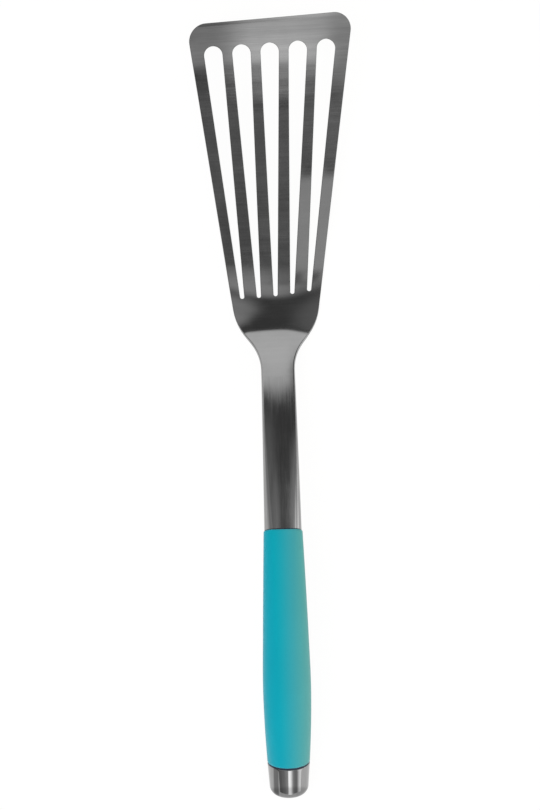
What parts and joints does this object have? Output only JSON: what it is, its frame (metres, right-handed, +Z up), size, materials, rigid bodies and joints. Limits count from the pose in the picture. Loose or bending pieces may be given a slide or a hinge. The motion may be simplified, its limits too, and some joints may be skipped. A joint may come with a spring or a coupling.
{
  "type": "fish spatula",
  "caption": "Slotted turner with a tapering blade, slanted lifting edge, hollow steel shaft, curved moulded grip and rounded steel end cap.",
  "frame": {"origin": "on the table that the tool rests on, under the middle of its length, on its line of symmetry", "axes": "+Y along the tool towards the blade's front edge, +Z up, +X to the right as seen from the grip"},
  "size_m": [0.0803, 0.385, 0.0446],
  "materials": {
    "blade_steel": "fine brushed",
    "shaft_steel": "satin",
    "cap_steel": "polished satin",
    "inner_steel": "plain",
    "grip_teal": "fine matte grain",
    "core_plastic": "plain moulded",
    "seal_rubber": "dark matte"
  },
  "bodies": {
    "root": {"blade": "blade_steel", "shaft_upper_shell": "shaft_steel", "shaft_lower_shell": "shaft_steel", "shaft_bulkhead": "inner_steel", "front_seal": "seal_rubber", "grip_core": "core_plastic", "grip_sleeve": "grip_teal", "tang": "inner_steel", "tang_washer": "inner_steel", "tang_nut": "inner_steel", "rear_seal": "seal_rubber", "end_cap": "cap_steel"}
  },
  "joints": []
}
